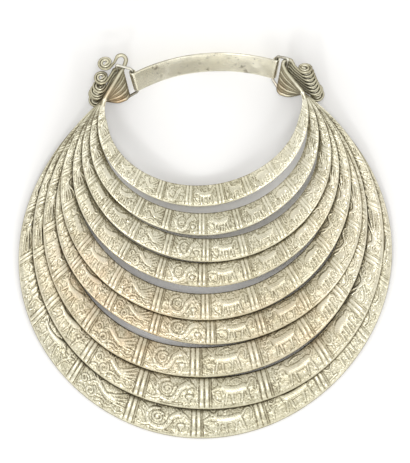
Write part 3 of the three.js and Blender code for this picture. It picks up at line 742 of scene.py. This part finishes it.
def hoop(row, material):
    length = outer_edge(row, np.array([1.0]))[2]
    front_width = HOOPS[row][1] * HOOP_WIDTH
    count = int(2 * length / GRID)
    columns = int(front_width / GRID)
    t = np.linspace(-1, 1, count)
    at = stations(row, t)
    across = np.concatenate([[0, 0.006], np.linspace(0.02, 0.985, columns), [0.995, 1.0]])
    a = np.broadcast_to(across, (count, len(across)))
    along = np.broadcast_to((t * length)[:, None], a.shape)
    rise, polish_and_shading = relief(row, along, a, at["width"])
    rim = np.minimum(smooth(0, 0.02, a), 1) * 0.4 + 0.6
    level = (at["sheet"][:, None] * rim + dome_line(a) * at["dome"][:, None] + rise
             - at["bank"][:, None] * (1 - a))
    top = (at["edge"][:, None, :] + at["inward"][:, None, :] * (at["width"][:, None] * (1 - a))[:, :, None])
    top = top + level[:, :, None] * np.array([0, 0, 1.0])
    shade = lip_shade(row, top.reshape(-1, 3)).reshape(polish_and_shading.shape)
    # Painted shade under the lip of the hoop above
    polish_and_shading = np.clip(polish_and_shading - 0.6 * shade, 0, 1)
    inside_lip = np.maximum(1 - at["sheet"] / at["width"], 0.8)
    under = []
    for share, lift in ((np.ones(count), 0), (inside_lip, 0), (np.full(count, 0.75), 0.88),
                        (np.full(count, 0.4), 0.85), (np.zeros(count), 0)):
        point = at["edge"] + at["inward"] * (at["width"] * (1 - share))[:, None]
        point = point + ((lift * at["dome"] - at["bank"] * (1 - share)))[:, None] * np.array([0, 0, 1.0])
        under.append(point)
    rings = np.concatenate([top, np.stack(under, 1)], 1)
    # Painted shade on the sheet's underside, less dark along its outer edge
    tone = np.concatenate([polish_and_shading, np.full((count, 5), 0.15)], 1)
    tone[:, len(across)] = 0.3
    ordered = turned_out(rings, False)
    if ordered is not rings:
        tone = tone[:, ::-1]
    rings = ordered
    shells = [(rings, False, tone), tip_wire(row, -1), tip_wire(row, 1)]
    node = f"hoop_{row + 1}"
    return build_mesh(f"embossed_{node}", shells, material, node)


def shackle(name, side, material):
    along = along_bar(side)
    held = held_offset(side)
    corners = [bar_middle(side) + held * out + along * up for out, up in
               ((0, bar_length / 2), (1, held_side / 2), (1, -held_side / 2), (0, -bar_length / 2))]
    path = []
    for i, corner in enumerate(corners):
        before = unit(corners[i - 1] - corner)
        after = unit(corners[(i + 1) % 4] - corner)
        k = np.linspace(0, 1, 9)[:, None]
        bend = ((1 - k) ** 2 * (corner + before * SHACKLE_BEND) + 2 * (1 - k) * k * corner
                + k * k * (corner + after * SHACKLE_BEND))
        path.extend(bend)
        last = corners[(i + 1) % 4] + unit(corner - corners[(i + 1) % 4]) * SHACKLE_BEND
        for step in np.linspace(0, 1, 12)[1:-1]:
            path.append(bend[-1] + (last - bend[-1]) * step)
    path = np.array(path)
    rings = turned_out(wire(path, np.full(len(path), BAR_WIRE / 2), 14, True), True)
    # The shackle's tone is painted light on top and painted shade beneath
    return build_mesh(f"forged_{name}", [(rings, True, wire_shading(rings, path))], material, name)


def collar_band(material):
    ends = [bar_middle(s) + held_offset(s) for s in (-1, 1)]
    reach = math.asin(half_chord / bow_radius)
    middle = (ends[0] + ends[1]) / 2 + bow * (BAND_BOW - bow_radius)
    level_way = np.array([0, math.sin(BAR_LEAN), math.cos(BAR_LEAN)])

    def radial(angle):
        return bow * math.cos(angle) + chord_way * math.sin(angle)

    def sideways(angle):
        return chord_way * math.cos(angle) - bow * math.sin(angle)

    stations_at = []
    for angle in np.linspace(BAND_ROLL, 0, 40)[:-1]:
        stations_at.append(rolled(ends[0], -1, angle, radial, sideways, reach))
    for share in np.linspace(-1, 1, 240):
        out = radial(reach * share)
        stations_at.append((middle + out * band_radius, out, share))
    for angle in np.linspace(0, BAND_ROLL, 40)[1:]:
        stations_at.append(rolled(ends[1], 1, angle, radial, sideways, reach))

    w = np.linspace(-1, 1, 29)
    edge = np.sqrt(np.clip(1 - ((np.abs(w) - 0.94) / 0.06).clip(0, 1) ** 2, 0.02, 1))
    rings, tones = [], []
    run = 0.0
    for i, (point, out, share) in enumerate(stations_at):
        wide = unit(along_bar(-1 if share < 0 else 1) * abs(share) + level_way * (1 - abs(share)))
        run = i * 0.62
        x = np.full_like(w, run)
        wave = grain(x, w * BAND_WIDTH / 2 + 40, 9.0, 5) * 0.10 + grain(x, w * BAND_WIDTH / 2 + 40, 23.0, 6) * 0.14
        ragged = 1 + 0.010 * grain(np.array([run]), np.array([3.0]), 14.0, 8)[0] - 0.006
        body = wave * (1 - np.abs(w) ** 8)
        outer = point + np.outer(edge * BAND_SHEET / 2 + body, out) + np.outer(w * BAND_WIDTH / 2 * ragged, wide)
        inner = point + np.outer(-edge * BAND_SHEET / 2 + body, out) + np.outer(w * BAND_WIDTH / 2 * ragged, wide)
        rings.append(np.vstack([outer, inner[::-1]]))
        # Darker towards both long edges; painted shade on the top edge's left part, which leaves only its right part
        # bright.
        tone = 0.92 + 0.10 * grain(x, w * 12 + 9, 6.0, 9) - 0.25 * np.abs(w) ** 10
        tone -= 0.4 * (w > 0.93) * (1 - smooth(0.1, 0.5, share))
        for at, up, long, wide_spot, amount in BAND_SPOTS:
            tone += amount * np.exp(-((share - at) / long) ** 2 - ((w - up) / wide_spot) ** 2)
        tones.append(np.clip(np.concatenate([tone, tone[::-1]]), 0, 1))
    rings = np.array(rings)
    tones = np.array(tones)
    ordered = turned_out(rings, False)
    if ordered is not rings:
        tones = tones[:, ::-1]
    return build_mesh("bent_collar_band", [(ordered, False, tones)], material, "collar_band")


# Stains and marks on the band: share along it, share up it, half sizes of both, strength
BAND_SPOTS = [(-0.05, 0.0, 0.02, 0.12, -0.55), (-0.08, -0.70, 0.03, 0.14, -0.5), (-0.62, -0.45, 0.035, 0.3, -0.5),
              (-0.80, -0.95, 0.22, 0.25, -0.35), (0.22, -0.97, 0.22, 0.12, -0.35), (-0.11, 0.15, 0.012, 0.4, 0.5),
              (0.35, 0.45, 0.03, 0.12, -0.4), (0.05, 0.5, 0.03, 0.12, -0.3), (-0.35, 0.55, 0.10, 0.15, -0.25)]


def rolled(end, side, angle, radial, sideways, reach):
    out = radial(side * reach)
    away = sideways(side * reach) * side
    spoke = -out * math.cos(angle) + away * math.sin(angle)
    return end + spoke * roll_radius, -spoke, float(side)


# Materials
def silver(name, dark, mid, bright, rough_low, rough_high, stipple, spots):
    material = bpy.data.materials.new(name)
    material.use_nodes = True
    tree = material.node_tree
    tree.nodes.clear()
    new, link = tree.nodes.new, tree.links.new
    output = new("ShaderNodeOutputMaterial")
    shader = new("ShaderNodeBsdfPrincipled")
    link(shader.outputs["BSDF"], output.inputs["Surface"])
    shader.inputs["Metallic"].default_value = 1.0
    place = new("ShaderNodeTexCoord")
    tone = new("ShaderNodeAttribute")
    tone.attribute_name = "tone"

    def noise(scale, detail, rough=0.5):
        node = new("ShaderNodeTexNoise")
        node.inputs["Scale"].default_value = scale
        node.inputs["Detail"].default_value = detail
        node.inputs["Roughness"].default_value = rough
        link(place.outputs["Object"], node.inputs["Vector"])
        return node.outputs["Fac"]

    def ramp(value, stops):
        node = new("ShaderNodeValToRGB")
        elements = node.color_ramp.elements
        while len(elements) < len(stops):
            elements.new(0.5)
        for element, (position, color) in zip(elements, stops):
            element.position = position
            element.color = (*color, 1)
        link(value, node.inputs["Fac"])
        return node.outputs["Color"]

    def mix(kind, factor, a, b):
        node = new("ShaderNodeMix")
        node.data_type = "RGBA"
        node.blend_type = kind
        if isinstance(factor, float):
            node.inputs[0].default_value = factor
        else:
            link(factor, node.inputs[0])
        for socket, value in ((node.inputs[6], a), (node.inputs[7], b)):
            if isinstance(value, tuple):
                socket.default_value = (*value, 1)
            else:
                link(value, socket)
        return node.outputs[2]

    def spread(value, low, high, to_low, to_high):
        node = new("ShaderNodeMapRange")
        node.inputs["From Min"].default_value = low
        node.inputs["From Max"].default_value = high
        node.inputs["To Min"].default_value = to_low
        node.inputs["To Max"].default_value = to_high
        link(value, node.inputs["Value"])
        return node.outputs["Result"]

    def combine(kind, a, b):
        node = new("ShaderNodeMath")
        node.operation = kind
        for socket, value in zip(node.inputs, (a, b)):
            if isinstance(value, float):
                socket.default_value = value
            else:
                link(value, socket)
        return node.outputs[0]

    fine = noise(1500.0, 2.0)
    broad = noise(16.0, 3.0)
    patch = noise(55.0, 4.0, 0.6)
    # The tone attribute holds painted light and shade as well as the metal's own tone; grain is added to it.
    wear_and_shading = combine("ADD", tone.outputs["Fac"], spread(fine, 0.3, 0.7, -stipple, stipple))
    wear_and_shading = combine("ADD", wear_and_shading, spread(patch, 0.3, 0.7, -0.12, 0.12))
    color = ramp(wear_and_shading, [(0.0, dark), (0.38, mid), (0.85, bright)])
    copper = new("ShaderNodeAttribute")
    copper.attribute_name = "warm"
    color = mix("MULTIPLY", copper.outputs["Fac"], color, (1.0, 0.80, 0.66))
    color = mix("MULTIPLY", spread(broad, 0.42, 0.68, 0.0, 0.5), color, (0.90, 0.88, 0.80))
    if spots:
        stain = noise(85.0, 3.0, 0.65)
        color = mix("MIX", spread(stain, 0.62, 0.70, 0.0, 0.7), color, (0.20, 0.165, 0.11))
        freckle = noise(420.0, 2.0, 0.5)
        color = mix("MIX", spread(freckle, 0.66, 0.72, 0.0, 0.6), color, (0.16, 0.13, 0.10))
    link(color, shader.inputs["Base Color"])
    rough = combine("ADD", spread(wear_and_shading, 0.0, 1.0, rough_high, rough_low), spread(patch, 0.3, 0.7, -0.05, 0.05))
    link(rough, shader.inputs["Roughness"])
    bump = new("ShaderNodeBump")
    bump.inputs["Strength"].default_value = 0.5
    bump.inputs["Distance"].default_value = 0.00025
    punch = new("ShaderNodeTexVoronoi")
    punch.inputs["Scale"].default_value = 900.0
    link(place.outputs["Object"], punch.inputs["Vector"])
    ground = spread(tone.outputs["Fac"], 0.1, 0.6, 1.0, 0.0)
    marks = combine("MULTIPLY", punch.outputs["Distance"], ground)
    marks = combine("ADD", marks, combine("MULTIPLY", patch, 0.8))
    link(marks, bump.inputs["Height"])
    link(bump.outputs["Normal"], shader.inputs["Normal"])
    return material


embossed = silver("embossed_silver", (0.20, 0.17, 0.11), (0.53, 0.50, 0.36), (0.89, 0.86, 0.705),
                  0.26, 0.50, 0.10, False)
drawn = silver("wire_silver", (0.03, 0.025, 0.02), (0.33, 0.31, 0.25), (0.88, 0.865, 0.79),
               0.26, 0.5, 0.05, False)
plain = silver("band_silver", (0.16, 0.13, 0.09), (0.52, 0.49, 0.385), (0.84, 0.81, 0.68),
               0.24, 0.42, 0.03, True)

hoops = bpy.data.collections.new("hoops")
for row in range(len(HOOPS)):
    hoops.objects.link(hoop(row, embossed))
shackle("shackle_left", -1, drawn)
shackle("shackle_right", 1, drawn)
collar_band(plain)

# Floor
floor_material = bpy.data.materials.new("floor")
floor_material.use_nodes = True
floor_shader = floor_material.node_tree.nodes["Principled BSDF"]
floor_shader.inputs["Base Color"].default_value = (0.975, 0.97, 0.965, 1)
floor_shader.inputs["Roughness"].default_value = 0.9
floor_mesh = bpy.data.meshes.new("floor")
floor_mesh.from_pydata([(-6, -6, 0), (6, -6, 0), (6, 6, 0), (-6, 6, 0)], [], [(0, 1, 2, 3)])
floor_mesh.materials.append(floor_material)
floor = bpy.data.objects.new("floor", floor_mesh)
floor.location.z = -0.0003
bpy.context.collection.objects.link(floor)


WALL_LIGHT = 1.45
CEILING_LIGHT = 0.63


# Light: a bright room, two soft boxes in front and one at the nape
def soft_box(name, azimuth, elevation, distance, size, power):
    data = bpy.data.lights.new(name, "AREA")
    data.shape = "ELLIPSE"
    data.size, data.size_y = size
    data.energy = power
    light = bpy.data.objects.new(name, data)
    a, e = math.radians(azimuth), math.radians(elevation)
    way = np.array([math.sin(a) * math.cos(e), -math.cos(a) * math.cos(e), math.sin(e)])
    light.location = way * distance
    light.rotation_euler = (math.pi / 2 - e, 0, a)
    bpy.context.collection.objects.link(light)
    light.light_linking.blocker_collection = hoops


soft_box("key", -20, 52, 1.6, (0.30, 0.30), 3.4)
soft_box("second", 40, 50, 1.6, (0.30, 0.30), 1.8)
soft_box("top", 180, 82, 1.9, (0.5, 0.5), 4)

world = bpy.data.worlds.new("room")
bpy.context.scene.world = world
world.use_nodes = True
world.node_tree.nodes["Background"].inputs["Color"].default_value = (1.0, 0.995, 0.98, 1)

# Brighter towards the walls than overhead
sky = world.node_tree
way_up = sky.nodes.new("ShaderNodeTexCoord")
split = sky.nodes.new("ShaderNodeSeparateXYZ")
level = sky.nodes.new("ShaderNodeMapRange")
level.inputs["To Min"].default_value = WALL_LIGHT
level.inputs["To Max"].default_value = CEILING_LIGHT
sky.links.new(way_up.outputs["Generated"], split.inputs["Vector"])
sky.links.new(split.outputs["Z"], level.inputs["Value"])
sky.links.new(level.outputs["Result"], sky.nodes["Background"].inputs["Strength"])
bpy.context.scene.view_settings.view_transform = "Standard"

# Camera: straight above, turned two degrees
VIEW_WIDTH = 0.369
CAMERA_HEIGHT = 6.0
camera_data = bpy.data.cameras.new("camera")
camera_data.sensor_fit = "HORIZONTAL"
camera_data.sensor_width = 36
camera_data.lens = 36 * CAMERA_HEIGHT / VIEW_WIDTH
camera_data.clip_end = 20
camera = bpy.data.objects.new("camera", camera_data)
camera.location = (0.0004, 0.0123, CAMERA_HEIGHT)
camera.rotation_euler = (0, 0, math.radians(-2))
bpy.context.collection.objects.link(camera)
bpy.context.scene.camera = camera
